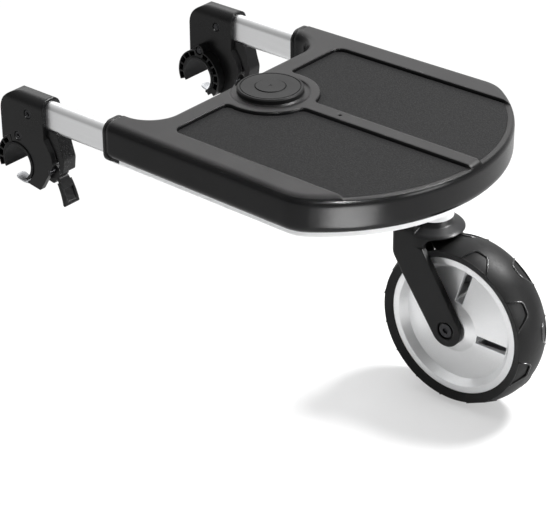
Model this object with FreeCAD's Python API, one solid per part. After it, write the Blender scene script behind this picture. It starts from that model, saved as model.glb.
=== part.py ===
import FreeCAD, Part
import math
import os

# Buggy board: a standing platform on one caster that clamps to a pushchair axle.
# The origin lies on the clamp axis, midway between the two clamps.
# X runs across the board, Y forward to the pushchair and Z up. Lengths are millimetres, angles degrees.

V = FreeCAD.Vector
os.makedirs("parts", exist_ok=True)

# General fits
overrun = 2.0
touch = 0.001
fit_gap = 0.05
running_gap = 0.06
body_gap = 0.35

# Layout of the whole board
arm_spacing = 300.0
tube_rise = 61.0

# Tubes
tube_width = 16.0
tube_height = 34.0
tube_wall = 1.5
tube_bare = 90.5
tube_grip = 37.0
tube_stow = 190.0

# Arm collars and tube plugs
collar_thickness = 5.0
collar_sleeve = 12.0
collar_tab_width = 12.0
collar_tab_length = 16.0
collar_tab_height = 2.0
collar_round = 12.0
plug_cap = 4.0
plug_lip = 0.2
plug_spigot = 24.0

# Deck shell
arm_width = 33.0
deck_flare = 4.0
deck_side = 249.0
deck_bow = 95.0
front_bay = 35.0
bay_radius = 32.0
corner_radius = 42.0
deck_rise = 26.0
deck_cover = 9.0
deck_skirt = 14.0
top_round = 10.0
skirt_round = 8.0
deck_wall = 5.5
recess_depth = 3.8
pad_thickness = 1.8
pad_floor = 2.9
pad_gap = 0.3
pad_front = 67.0
pad_half_width = 134.6
pad_flare = 3.0
pad_corner = 12.0
pad_rear_rim = 8.0
rib_half_width = 8.8
hub_boss_radius = 52.0
hub_fillet = 7.0
rib_hole_radius = 1.8
rib_hole_depth = 3.0
rib_hole_back = 176.0
boss_radius = 5.0
rail_rib = 2.5
rail_rib_length = 150.0
guide_thickness = 4.0
guide_width = 22.0

# Deck tray
tray_wall = 2.4
tray_lap = 4.0
tray_bevel = 2.5
tube_floor_gap = 1.0

# Tray screws, as shares of the room beside the middle line and of the deck's length
tray_screw_shares = ((0.95, 0.304), (0.95, 0.544), (0.95, 0.774), (0.43, 0.911), (0.43, 0.21))
screw_shank_radius = 1.75
screw_head_radius = 3.6
screw_head_height = 2.0
screw_bite = 14.0

# Lock dial, button and cam
dial_back = 83.4
dial_radius = 35.5
dial_height = 6.0
dial_bevel = 1.4
dial_gutter_radius = 42.0
dial_gutter_depth = 1.6
dial_seat_rim = 1.5
dial_groove_radius = 32.4
dial_groove_width = 1.0
dial_groove_depth = 0.8
dial_shaft_radius = 20.0
dial_spigot_radius = 8.4
well_depth = 8.5
button_radius = 16.2
button_crown = 0.6
button_skirt = 4.6
button_stem_radius = 4.5
button_stem_length = 15.0
button_travel = 3.0
button_mark = 2.4
button_mark_depth = 0.4
spring_radius = 8.0
spring_wire = 0.45
spring_turns = 2
cam_radius = 27.5
cam_thickness = 6.0
cam_pin_locked = 22.0
cam_pin_free = 18.0
cam_turn = 60.0
cam_pin_radius = 3.0
cam_screw_radius = 2.5
cam_screw_head_radius = 11.0
cam_screw_head_height = 2.5

# Lock rods and shoes
rod_height = 8.0
rod_width = 10.0
rod_tail = 6.0
shoe_length = 28.0
shoe_height = 14.0
shoe_plate = 5.0
shoe_pad = 4.0
shoe_gap = 0.1

# Clamp bracket
bracket_width = 27.0
bracket_back = 40.5
bracket_front = 22.5
bracket_wall = 3.0
bracket_nose_radius = 25.0
bracket_crown_radius = 11.0
bracket_edge_radius = 3.0
bracket_heel = 23.0
bulge_back = 55.0
bulge_rise = 14.0
bulge_radius = 22.0
tip_back = 31.5
tip_drop = 24.5
tip_radius = 3.0
tip_inner_back = 13.0
tip_inner_drop = 21.5
cheek = 6.2
cheek_hole_radius = 23.2
ring_window_start = -72.0
ring_window_angle = 72.0
mouth_angle = 152.0

# Clamp jaw and liner
bore_radius = 19.5
liner_thickness = 2.7
liner_overhang = 1.2
liner_lip_angle = 6.0
jaw_shell = 3.6
jaw_flange = 4.7
jaw_reach = 11.5
jaw_lip_angle = -24.0
jaw_tail_angle = 236.0
jaw_flange_tail_angle = 222.0
jaw_window_angle = 70.0
jaw_wall = 1.4
jaw_cell_depth = 9.0
jaw_cell_pitch = 21.0
jaw_cell_span = 16.5
jaw_boss_radius = 6.5

# Hook band and its ridged strap
band_gap = 0.4
band_thickness = 1.5
band_width = 13.0
band_start_angle = 168.0
band_tip_angle = 301.0
band_tip_radius = 4.0
strap_end_angle = 214.0
strap_thickness = 5.8
ridge_height = 1.4
ridge_count = 8
ridge_pitch = 5.4
ridge_span = 2.4
band_open = 60.0
band_close = 25.0

# Cam lever and pin
pivot_back = 46.5
pivot_rise = 1.0
pin_radius = 2.5
hub_radius = 9.0
cam_throw = 2.2
cam_angle = -25.0
hub_groove_radius = 0.9
hub_groove_count = 7
hub_groove_pitch = 22.0
hub_groove_start = 110.0
handle_length = 38.0
handle_angle = 244.0
handle_thickness = 4.0
handle_bow = 2.4
handle_width = 21.0
handle_root_width = 16.5
handle_tip_radius = 3.0
handle_root = 14.0
paddle_length = 14.0
paddle_width = 13.0
paddle_depth = 1.2

# Lever guard
guard_width = 18.0
guard_gap = 2.5
guard_wall = 3.2
guard_back = 64.5
guard_crown_rise = 19.0
guard_shoulder_back = 61.0
guard_shoulder_rise = 30.0
guard_foot_length = 15.5
guard_foot_lap = 4.0
guard_foot_thickness = 5.5
guard_toe_back = 62.5
guard_toe_rise = 3.0
guard_heel_back = 58.5
guard_heel_rise = 3.5
guard_edge_radius = 2.0
guard_crown_radius = 10.0
guard_cheek = 3.0
guard_screw_share = 0.45

# Clamp bolts
tube_bolt_back = 18.3
jaw_bolt_back = 1.6
jaw_bolt_rise = 31.0
bolt_radius = 2.5
bolt_head_radius = 4.6
bolt_head_height = 3.0
bolt_sink_radius = 5.4
bolt_sink_depth = 3.6
nut_radius = 4.4
nut_height = 3.0

# Caster socket, kingpin and bushes
stem_back = 296.3
socket_radius = 21.0
socket_bottom_rise = 15.0
socket_flange_radius = 36.0
socket_flange = 4.0
socket_screw_circle = 29.0
socket_screw_count = 4
bush_thickness = 4.0
bush_length = 12.0
bush_flange = 2.5
bush_flange_thickness = 1.5
kingpin_radius = 8.0
kingpin_bite = 18.0
king_nut_radius = 11.0
king_nut_height = 7.0
swivel_gap = 0.4

# Wheel, tyre and axle
wheel_trail = 43.1
tyre_height = 15.0
tyre_half_width = 24.2
tyre_shoulder_drop = 6.5
rim_radius = 75.0
rim_seat_depth = 2.5
rim_half_width = 20.0
rim_lip = 7.0
rim_lip_slope = 6.0
rim_dish = 8.0
rim_web = 4.0
rim_hub_radius = 18.4
rim_hub_flare = 9.6
rim_hub_half = 25.0
rim_hub_rise = 5.0
slot_angles = (101.0, 190.0)
slot_width = 9.0
slot_hub_gap = 1.5
slot_lip_gap = 1.0
lug_count = 8
lug_phase = 107.7
lug_length = 32.0
lug_reach = 15.0
lug_crown_shares = (-0.1, 0.34)
lug_depth = 1.2
lug_corner = 5.0
lug_edge = 1.2
bearing_radius = 13.0
bearing_width = 8.0
bearing_inset = 0.6
spacer_wall = 2.2
axle_radius = 5.0
axle_head_radius = 7.5
axle_head_height = 3.0
axle_socket_radius = 3.4
axle_socket_depth = 2.0
axle_sink_radius = 9.8
axle_sink_depth = 3.4
axle_nut_radius = 7.5

# Caster fork
fork_gap = 26.0
fork_leg = 7.0
fork_clearance = 4.0
fork_crown = 11.6
fork_end_radius = 17.5
fork_end_angle = -38.0
fork_front = 27.5
fork_front_drop = 34.0
fork_knee_back = 13.0
fork_knee_drop = 57.0
fork_waist_back = 11.0
fork_waist_drop = 23.8
fork_tail_drop = 9.5
fork_tail_edge = 3.2
fork_tail_bevel = 2.0
fork_step_radius = 21.5
fork_step_drop = 6.0
fork_seat_radius = 19.0
fork_bend_radius = 16.0
fork_front_radius = 5.0
fork_flare_radius = 10.5
fork_shoulder_radius = 11.0
fork_boss_radius = 8.5
thrust_washer_radius = 17.0
thrust_washer = 0.4


# Places worked out from the sizes above
tube_x = arm_spacing / 2
tube_z = tube_rise
bracket_rear = -bracket_back
deck_front = bracket_rear - tube_bare
deck_top = tube_z + max(deck_rise, tube_height / 2 + deck_cover)
skirt_z = tube_z - deck_skirt
arm_end = deck_front - collar_thickness - fit_gap
arm_inner = tube_x - arm_width / 2
arm_outer = tube_x + arm_width / 2
bay_y = arm_end - front_bay
side_end = arm_end - deck_side
corner_x = arm_outer + deck_flare
rear_y = side_end - deck_bow
pad_top = deck_top - recess_depth
pad_base = pad_top - pad_thickness
ceiling = pad_base - pad_floor
tray_top = tube_z - tube_height / 2 - tube_floor_gap
tray_bottom = tray_top - tray_wall
tray_inset = deck_wall + fit_gap
dial_y = deck_front - dial_back
stem_y = deck_front - stem_back
axle_y = stem_y - wheel_trail
jaw_inner = bore_radius + liner_thickness + fit_gap
jaw_outer = jaw_inner + jaw_shell
flange_outer = jaw_outer + jaw_flange
band_inner = jaw_outer + band_gap
band_outer = band_inner + band_thickness
strap_inner = band_outer + fit_gap
strap_outer = strap_inner + strap_thickness
ridge_outer = strap_outer + ridge_height
outboard = -(tube_x + bracket_width / 2)
inboard = -(tube_x - bracket_width / 2)
jaw_face = inboard + jaw_reach
channel_out = outboard + cheek
channel_in = inboard - cheek
fork_half = fork_gap + fork_leg
fork_top = socket_bottom_rise - swivel_gap - thrust_washer
wheel_radius = rim_radius + tyre_height
fork_arch = wheel_radius + fork_clearance
axle_z = fork_top - fork_crown - fork_arch
rod_z = tube_z
cam_bottom = rod_z + rod_height / 2 + body_gap
cam_top = cam_bottom + cam_thickness
dial_bottom = deck_top + body_gap
dial_top = deck_top + dial_height
well_floor = dial_top - well_depth
stem_end = well_floor - button_stem_length - button_travel
screw_hole = screw_shank_radius + fit_gap
bolt_hole = bolt_radius + fit_gap
screw_span = tube_x - tube_width / 2 - 2 * boss_radius


def corner_wire(points, radii):
    """Closed wire through corner points, each corner rounded by its own radius."""
    trims = []
    for i, corner in enumerate(points):
        before = (points[i - 1] - corner).normalize()
        after = (points[(i + 1) % len(points)] - corner).normalize()
        if radii[i] == 0:
            trims.append((corner, None, corner))
            continue
        half = before.getAngle(after) / 2
        reach = radii[i] / math.tan(half)
        middle = (before + after).normalize()
        centre = corner + middle * (radii[i] / math.sin(half))
        trims.append((corner + before * reach, centre - middle * radii[i], corner + after * reach))
    edges = []
    for i, (start, bend, end) in enumerate(trims):
        if bend is not None:
            edges.append(Part.Arc(start, bend, end).toShape())
        following = trims[(i + 1) % len(trims)][0]
        if (following - end).Length > touch:
            edges.append(Part.LineSegment(end, following).toShape())
    return Part.Wire(edges)


def plan_plate(corners, z0, z1):
    """Plate in the XY plane from (x, y, radius) corners."""
    points = [V(x, y, z0) for x, y, r in corners]
    face = Part.Face(corner_wire(points, [r for x, y, r in corners]))
    return face.extrude(V(0, 0, z1 - z0))


def side_plate(corners, x0, x1):
    """Plate in the YZ plane from (y, z, radius) corners."""
    points = [V(x0, y, z) for y, z, r in corners]
    face = Part.Face(corner_wire(points, [r for y, z, r in corners]))
    return face.extrude(V(x1 - x0, 0, 0))


def front_plate(corners, y0, y1):
    """Plate in the XZ plane from (x, z, radius) corners."""
    points = [V(x, y0, z) for x, z, r in corners]
    face = Part.Face(corner_wire(points, [r for x, z, r in corners]))
    return face.extrude(V(0, y1 - y0, 0))


def block(x0, x1, y0, y1, z0, z1):
    return Part.makeBox(x1 - x0, y1 - y0, z1 - z0, V(x0, y0, z0))


def rod_x(radius, x0, x1, y, z):
    return Part.makeCylinder(radius, x1 - x0, V(x0, y, z), V(1, 0, 0))


def rod_z_axis(radius, x, y, z0, z1):
    return Part.makeCylinder(radius, z1 - z0, V(x, y, z0), V(0, 0, 1))


def hex_x(radius, x0, x1, y, z):
    """Hexagon bar along X, with its corners on the given radius."""
    points = [V(x0, y, z) + polar(radius, 60 * k) for k in range(6)]
    return Part.Face(Part.makePolygon(points + points[:1])).extrude(V(x1 - x0, 0, 0))


def polar(radius, angle):
    """Point in the YZ plane, with the angle from forward to up."""
    turn = math.radians(angle)
    return V(0, radius * math.cos(turn), radius * math.sin(turn))


def arc_ring(r0, r1, a0, a1, x0, x1):
    """Part of a ring about the clamp axis, between two angles and two places across."""
    middle = (a0 + a1) / 2
    outer = Part.Arc(polar(r1, a0), polar(r1, middle), polar(r1, a1)).toShape()
    inner = Part.Arc(polar(r0, a1), polar(r0, middle), polar(r0, a0)).toShape()
    end = Part.LineSegment(polar(r1, a1), polar(r0, a1)).toShape()
    start = Part.LineSegment(polar(r0, a0), polar(r1, a0)).toShape()
    ring = Part.Face(Part.Wire([outer, end, inner, start])).extrude(V(x1 - x0, 0, 0))
    ring.translate(V(x0, 0, 0))
    return ring


def flat_oval(width, height, x, z, y0, y1):
    """Bar along Y with flat sides and round top and bottom."""
    half_w = width / 2
    half_h = height / 2
    corners = [(x - half_w, z - half_h, half_w), (x + half_w, z - half_h, half_w),
               (x + half_w, z + half_h, half_w), (x - half_w, z + half_h, half_w)]
    return front_plate(corners, y0, y1)


def revolve_z(profile, x, y):
    """Solid turned about a vertical line from (radius, z) points."""
    points = [V(x + r, y, z) for r, z in profile]
    face = Part.Face(Part.makePolygon(points + points[:1]))
    return face.revolve(V(x, y, 0), V(0, 0, 1), 360)


def fuse(*shapes):
    return shapes[0].multiFuse(list(shapes[1:])).removeSplitter()


def mirrored(shape):
    return shape.mirror(V(0, 0, 0), V(1, 0, 0))


def edges_at_z(shape, z, skip_y):
    """Edges that lie in a level plane, but not on the given front plane."""
    found = []
    for edge in shape.Edges:
        box = edge.BoundBox
        level = abs(box.ZMin - z) < touch and abs(box.ZMax - z) < touch
        on_front = abs(box.YMin - skip_y) < touch and abs(box.YMax - skip_y) < touch
        if level and not on_front:
            found.append(edge)
    return found


def upright_edges(shape, places, reach):
    """Vertical edges that pass within reach of the given plan places."""
    found = []
    for edge in shape.Edges:
        box = edge.BoundBox
        if box.XLength > touch or box.YLength > touch:
            continue
        for x, y in places:
            if math.hypot(box.XMin - x, box.YMin - y) < reach:
                found.append(edge)
    return found


def export(name, shape):
    shape.exportStep("parts/" + name + ".step")


def export_pair(name, left):
    export(name + "_left", left)
    export(name + "_right", mirrored(left))


# Deck shell: one moulding with two hollow arms, a raised dial hub, a middle rib and two pad recesses
def deck_plan(front, z0, z1):
    """Plan outline of the deck as a plate, with its arms ending at the given front."""
    corners = [V(-arm_inner, front, z0), V(-arm_outer, front, z0), V(-corner_x, side_end, z0),
               V(corner_x, side_end, z0), V(arm_outer, front, z0), V(arm_inner, front, z0),
               V(arm_inner, bay_y, z0), V(-arm_inner, bay_y, z0)]
    edges = []
    for i, corner in enumerate(corners):
        following = corners[(i + 1) % len(corners)]
        if corner.y == side_end and following.y == side_end:
            edges.append(Part.Arc(corner, V(0, rear_y, z0), following).toShape())
        else:
            edges.append(Part.LineSegment(corner, following).toShape())
    plate = Part.Face(Part.Wire(edges)).extrude(V(0, 0, z1 - z0))
    rear = upright_edges(plate, [(-corner_x, side_end), (corner_x, side_end)], touch)
    plate = plate.makeFillet(corner_radius, rear)
    bay = upright_edges(plate, [(-arm_inner, bay_y), (arm_inner, bay_y)], touch)
    return plate.makeFillet(bay_radius, bay)


def deck_inset(inset, front, z0, z1):
    """The deck outline pulled in by an inset, with its arms still ending at the given front."""
    plate = deck_plan(front + inset, z0, z1)
    base = [face for face in plate.Faces if abs(face.BoundBox.ZMax - z0) < touch][0]
    return base.makeOffset2D(-inset).extrude(V(0, 0, z1 - z0))


def pad_region(side, shrink, z0, z1):
    """One pad's area: straight front and sides, and cut away round the dial hub."""
    front = deck_front - pad_front - shrink
    back = rear_y - overrun
    inner = rib_half_width + shrink
    outer = pad_half_width - shrink
    corners = [(side * inner, front, 0), (side * outer, front, pad_corner - shrink),
               (side * (outer + pad_flare), back, 0), (side * inner, back, 0)]
    area = plan_plate(corners, z0, z1)
    hub_reach = hub_boss_radius + shrink
    area = area.cut(rod_z_axis(hub_reach, 0, dial_y, z0 - overrun, z1 + overrun))
    area = max(area.Solids, key=lambda solid: solid.Volume)
    front_x = math.sqrt(hub_reach ** 2 - (front - dial_y) ** 2)
    rib_y = dial_y - math.sqrt(hub_reach ** 2 - inner ** 2)
    ends = upright_edges(area, [(side * front_x, front), (side * inner, rib_y)], touch)
    return area.makeFillet(hub_fillet, ends)


def screw_places():
    places = []
    for width_share, depth_share in tray_screw_shares:
        for side in (-1, 1):
            places.append((side * width_share * screw_span, deck_front + depth_share * (rear_y - deck_front)))
    return places


def socket_screw_places():
    step = 360 / socket_screw_count
    turns = [math.radians(step * (k + 1 / 2)) for k in range(socket_screw_count)]
    return [(socket_screw_circle * math.cos(t), stem_y + socket_screw_circle * math.sin(t)) for t in turns]


def make_deck_shell():
    shell = deck_plan(arm_end, skirt_z, deck_top)
    shell = shell.makeFillet(top_round, edges_at_z(shell, deck_top, arm_end))
    shell = shell.makeFillet(skirt_round, edges_at_z(shell, skirt_z, arm_end))
    seat = rod_z_axis(dial_radius + dial_seat_rim, 0, dial_y, skirt_z + skirt_round, deck_top)
    shell = fuse(shell, seat).cut(deck_inset(deck_wall, arm_end + overrun, skirt_z - overrun, ceiling))
    for side in (-1, 1):
        shell = shell.cut(pad_region(side, 0, pad_top, deck_top + overrun))
        pocket = pad_region(side, 0, pad_base, pad_top)
        shell = shell.cut(pocket.common(deck_inset(pad_rear_rim - pad_gap, arm_end, pad_base, pad_top)))
    ribs = []
    posts = screw_places() + socket_screw_places()
    for x, y in posts:
        ribs.append(rod_z_axis(boss_radius, x, y, tray_top, ceiling + touch))
    rib_front = deck_front - pad_front
    for side in (-1, 1):
        x0 = side * (tube_x - arm_width / 2 + deck_wall)
        x1 = x0 - side * rail_rib
        rib = block(min(x0, x1), max(x0, x1), rib_front - rail_rib_length, rib_front,
                    tray_top + tray_wall, ceiling + touch)
        window = block(min(x0, x1) - overrun, max(x0, x1) + overrun, dial_y - shoe_length / 2 - body_gap,
                       dial_y + shoe_length / 2 + body_gap, tray_top, ceiling - rail_rib)
        ribs.append(rib.cut(window))
        guide_x = side * (dial_gutter_radius + hub_boss_radius) / 2
        guide = block(guide_x - guide_thickness / 2, guide_x + guide_thickness / 2, dial_y - guide_width / 2,
                      dial_y + guide_width / 2, rod_z - rod_height, ceiling + touch)
        slot = block(guide_x - guide_thickness, guide_x + guide_thickness, dial_y - rod_width / 2 - body_gap,
                     dial_y + rod_width / 2 + body_gap, rod_z - rod_height / 2 - body_gap,
                     rod_z + rod_height / 2 + body_gap)
        ribs.append(guide.cut(slot))
    shell = fuse(shell, *ribs)
    gutter = rod_z_axis(dial_gutter_radius, 0, dial_y, deck_top - dial_gutter_depth, deck_top + overrun)
    shell = shell.cut(gutter.cut(rod_z_axis(dial_radius, 0, dial_y, deck_top - overrun, deck_top + overrun)))
    shaft_hole = dial_shaft_radius + running_gap
    shell = shell.cut(rod_z_axis(shaft_hole, 0, dial_y, ceiling - overrun, deck_top + overrun))
    hole_y = deck_front - rib_hole_back
    shell = shell.cut(rod_z_axis(rib_hole_radius, 0, hole_y, deck_top - rib_hole_depth, deck_top + overrun))
    for x, y in posts:
        top = tray_top + screw_bite + fit_gap
        shell = shell.cut(rod_z_axis(screw_hole, x, y, tray_top - overrun, top))
    return shell


def make_tray():
    tray = deck_inset(tray_inset, arm_end, tray_bottom, skirt_z + tray_lap)
    tray = tray.makeChamfer(tray_bevel, edges_at_z(tray, tray_bottom, arm_end))
    rim_z = skirt_z + tray_lap + overrun
    tray = tray.cut(deck_inset(tray_inset + tray_wall, arm_end + overrun, tray_top, rim_z))
    tray = tray.cut(rod_z_axis(socket_radius + fit_gap, 0, stem_y, tray_bottom - overrun, tray_top + overrun))
    for x in (-tube_x, tube_x):
        left, right = x - arm_width / 2, x + arm_width / 2
        tray = tray.cut(block(left, right, arm_end - collar_sleeve, arm_end + overrun, tray_top, rim_z))
    for x, y in screw_places() + socket_screw_places():
        tray = tray.cut(rod_z_axis(screw_hole, x, y, tray_bottom - overrun, tray_top + overrun))
    return tray


def make_pad(side):
    pad = pad_region(side, pad_gap, pad_base, pad_top)
    return pad.common(deck_inset(pad_rear_rim, arm_end, pad_base, pad_top))


def make_screws(places, head_z):
    screws = []
    for x, y in places:
        head = rod_z_axis(screw_head_radius, x, y, head_z - screw_head_height, head_z)
        shank = rod_z_axis(screw_shank_radius, x, y, head_z - touch, tray_top + screw_bite)
        screws.append(fuse(head, shank))
    return Part.makeCompound(screws)


export("deck_shell", make_deck_shell())
export("deck_tray", make_tray())
export("grip_pad_left", make_pad(-1))
export("grip_pad_right", make_pad(1))
export("tray_screws", make_screws(screw_places(), tray_bottom))
export("socket_screws", make_screws(socket_screw_places(), tray_bottom - socket_flange))


# Arm collar: a rim that closes the arm's mouth and a sleeve that guides the tube
def make_collar():
    corners = [(-arm_outer, tray_bottom, collar_round), (-arm_inner, tray_bottom, collar_round),
               (-arm_inner, deck_top, collar_round), (-arm_outer, deck_top, collar_round)]
    rim = front_plate(corners, deck_front - collar_thickness, deck_front)
    sleeve_half = arm_width / 2 - deck_wall - fit_gap
    rim_back = deck_front - collar_thickness
    sleeve_back = rim_back - collar_sleeve
    sleeve = block(-tube_x - sleeve_half, -tube_x + sleeve_half, sleeve_back, rim_back + touch,
                   tray_top + fit_gap, tube_z)
    tab_half = collar_tab_width / 2
    tab_low = tray_bottom - collar_tab_height
    tab = block(-tube_x - tab_half, -tube_x + tab_half, rim_back - collar_tab_length, rim_back + touch,
                tab_low, tray_bottom - fit_gap)
    foot = block(-tube_x - tab_half, -tube_x + tab_half, rim_back, deck_front - collar_thickness / 2,
                 tab_low, tray_bottom + touch)
    mouth = flat_oval(tube_width + 2 * body_gap, tube_height + 2 * body_gap, -tube_x, tube_z,
                      sleeve_back - overrun, deck_front + overrun)
    return fuse(rim, sleeve, tab, foot).cut(mouth)


# Tube with its bolt holes, and the plug that guides its inner end
tube_inner_end = deck_front - tube_stow
tube_outer_end = bracket_rear + tube_grip


def make_tube():
    bar = flat_oval(tube_width, tube_height, -tube_x, tube_z, tube_inner_end, tube_outer_end)
    hollow = flat_oval(tube_width - 2 * tube_wall, tube_height - 2 * tube_wall, -tube_x, tube_z,
                       tube_inner_end - overrun, tube_outer_end + overrun)
    tube = bar.cut(hollow)
    cross = rod_x(bolt_hole, -tube_x - tube_width, -tube_x + tube_width, -tube_bolt_back, tube_z)
    return tube.cut(cross).cut(rod_z_axis(screw_hole, -tube_x, guard_screw_y, tube_z - tube_height, tube_z))


def make_plug():
    cap = flat_oval(tube_width + 2 * plug_lip, tube_height + 2 * plug_lip, -tube_x, tube_z,
                    tube_inner_end - plug_cap, tube_inner_end)
    skin = tube_width - 2 * tube_wall - 2 * fit_gap
    rise = tube_height - 2 * tube_wall - 2 * fit_gap
    spigot = flat_oval(skin, rise, -tube_x, tube_z, tube_inner_end - touch, tube_inner_end + plug_spigot)
    return fuse(cap, spigot)


# Clamp bracket: grips the tube, carries the jaw and guides the hook band between two cheeks
def arm_profile():
    top = tube_z + tube_height / 2 + bracket_wall
    return [(bracket_front, top, bracket_nose_radius), (bracket_rear, top, bracket_edge_radius),
            (bracket_rear, tube_z - bracket_heel, bracket_edge_radius),
            (-bulge_back, bulge_rise, bulge_radius), (-tip_back, -tip_drop, tip_radius),
            (-tip_inner_back, -tip_inner_drop, 0),
            (0, 0, 0), (bracket_front, 0, 0)]


def make_bracket():
    bracket = side_plate(arm_profile(), outboard, inboard)
    top = tube_z + tube_height / 2 + bracket_wall
    crown = [(outboard, -bulge_back, 0), (inboard, -bulge_back, 0),
             (inboard, top, bracket_crown_radius), (outboard, top, bracket_crown_radius)]
    bracket = bracket.common(front_plate(crown, -bulge_back - bulge_radius, bracket_front))
    pocket_end = bracket_rear + tube_grip + fit_gap
    bracket = bracket.cut(flat_oval(tube_width + 2 * fit_gap, tube_height + 2 * fit_gap, -tube_x, tube_z,
                                    bracket_rear - overrun, pocket_end))
    clear_flange = flange_outer + body_gap
    bracket = bracket.cut(rod_x(cheek_hole_radius, outboard - overrun, channel_out, 0, 0))
    bracket = bracket.cut(rod_x(jaw_outer + fit_gap, channel_out, inboard + overrun, 0, 0))
    near, far = outboard - overrun, inboard + overrun
    run_end = jaw_tail_angle + band_close
    window = arc_ring(bore_radius, clear_flange, ring_window_start, ring_window_angle, near, far)
    seat = arc_ring(bore_radius, clear_flange, ring_window_angle, run_end, channel_in, far)
    bracket = bracket.cut(window).cut(seat)
    run_start = band_start_angle - band_open - ridge_pitch
    groove = arc_ring(jaw_outer, ridge_outer + body_gap, run_start, run_end, channel_out, channel_in)
    mouth = arc_ring(jaw_outer, bulge_back + bulge_radius, mouth_angle, run_end, channel_out, channel_in)
    bracket = bracket.cut(groove).cut(mouth)
    for y, z in bolt_places():
        bracket = bracket.cut(rod_x(bolt_hole, near, far, y, z))
        bracket = bracket.cut(rod_x(bolt_sink_radius, near, outboard + bolt_sink_depth, y, z))
    bracket = bracket.cut(rod_x(bolt_sink_radius, inboard - bolt_sink_depth, far, -tube_bolt_back, tube_z))
    return bracket.cut(rod_x(pin_radius + fit_gap, near, far, -pivot_back, pivot_rise))


def bolt_places():
    return [(-tube_bolt_back, tube_z), (-jaw_bolt_back, jaw_bolt_rise)]


# Clamp jaw: a C-shaped shell with ribbed cells round its two faces
def make_jaw():
    out_face = channel_out + body_gap
    flange_face = channel_in + body_gap
    shell = arc_ring(jaw_inner, jaw_outer, jaw_lip_angle, jaw_tail_angle, out_face, jaw_face)
    flange_in = jaw_outer - touch
    flange = arc_ring(flange_in, flange_outer, jaw_lip_angle, jaw_flange_tail_angle, flange_face, jaw_face)
    lip = arc_ring(jaw_inner, flange_outer, jaw_lip_angle, jaw_window_angle, outboard, jaw_face)
    boss = rod_x(jaw_boss_radius, inboard + fit_gap, jaw_face, -jaw_bolt_back, jaw_bolt_rise)
    boss = boss.cut(rod_x(jaw_outer - jaw_wall, inboard - overrun, jaw_face + overrun, 0, 0))
    jaw = fuse(shell, flange, lip, boss)
    cell_in = jaw_inner + jaw_wall
    cell_out = flange_outer - jaw_wall
    start = jaw_lip_angle + (jaw_cell_pitch - jaw_cell_span) / 2
    bolt_angle = math.degrees(math.atan2(jaw_bolt_rise, -jaw_bolt_back))
    near, far = outboard - overrun, jaw_face + overrun
    while start + jaw_cell_span < jaw_flange_tail_angle:
        end = start + jaw_cell_span
        if abs((start + end) / 2 - bolt_angle) > jaw_cell_pitch / 2:
            jaw = jaw.cut(arc_ring(cell_in, cell_out, start, end, jaw_face - jaw_cell_depth, far))
        if end < jaw_window_angle:
            jaw = jaw.cut(arc_ring(cell_in, cell_out, start, end, near, outboard + jaw_cell_depth))
        start += jaw_cell_pitch
    jaw = jaw.cut(rod_x(bolt_hole, outboard, far, -jaw_bolt_back, jaw_bolt_rise))
    return jaw.cut(rod_x(bolt_sink_radius, jaw_face - bolt_sink_depth, far, -jaw_bolt_back, jaw_bolt_rise))


def make_liner():
    lip_end = jaw_lip_angle - liner_lip_angle
    return arc_ring(bore_radius, bore_radius + liner_thickness, lip_end, jaw_tail_angle,
                    outboard - liner_overhang, jaw_face + liner_overhang)


# Hook band and the ridged strap on its back, both round the clamp axis
def make_band():
    x0 = -tube_x - band_width / 2
    x1 = -tube_x + band_width / 2
    band = arc_ring(band_inner, band_outer, band_start_angle, band_tip_angle, x0, x1)
    tip = polar((band_inner + band_outer) / 2, band_tip_angle)
    corners = []
    for edge in band.Edges:
        centre = edge.CenterOfMass
        on_tip = math.hypot(centre.y - tip.y, centre.z - tip.z) < band_thickness / 2
        if on_tip and edge.BoundBox.XLength < touch:
            corners.append(edge)
    return band.makeFillet(band_tip_radius, corners)


def make_strap():
    x0 = -tube_x - band_width / 2
    x1 = -tube_x + band_width / 2
    strap = arc_ring(strap_inner, strap_outer, band_start_angle, strap_end_angle, x0, x1)
    ridges = []
    for k in range(ridge_count):
        start = band_start_angle + ridge_span / 2 + k * ridge_pitch
        ridges.append(arc_ring(strap_outer - touch, ridge_outer, start, start + ridge_span, x0, x1))
    return fuse(strap, *ridges)


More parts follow.
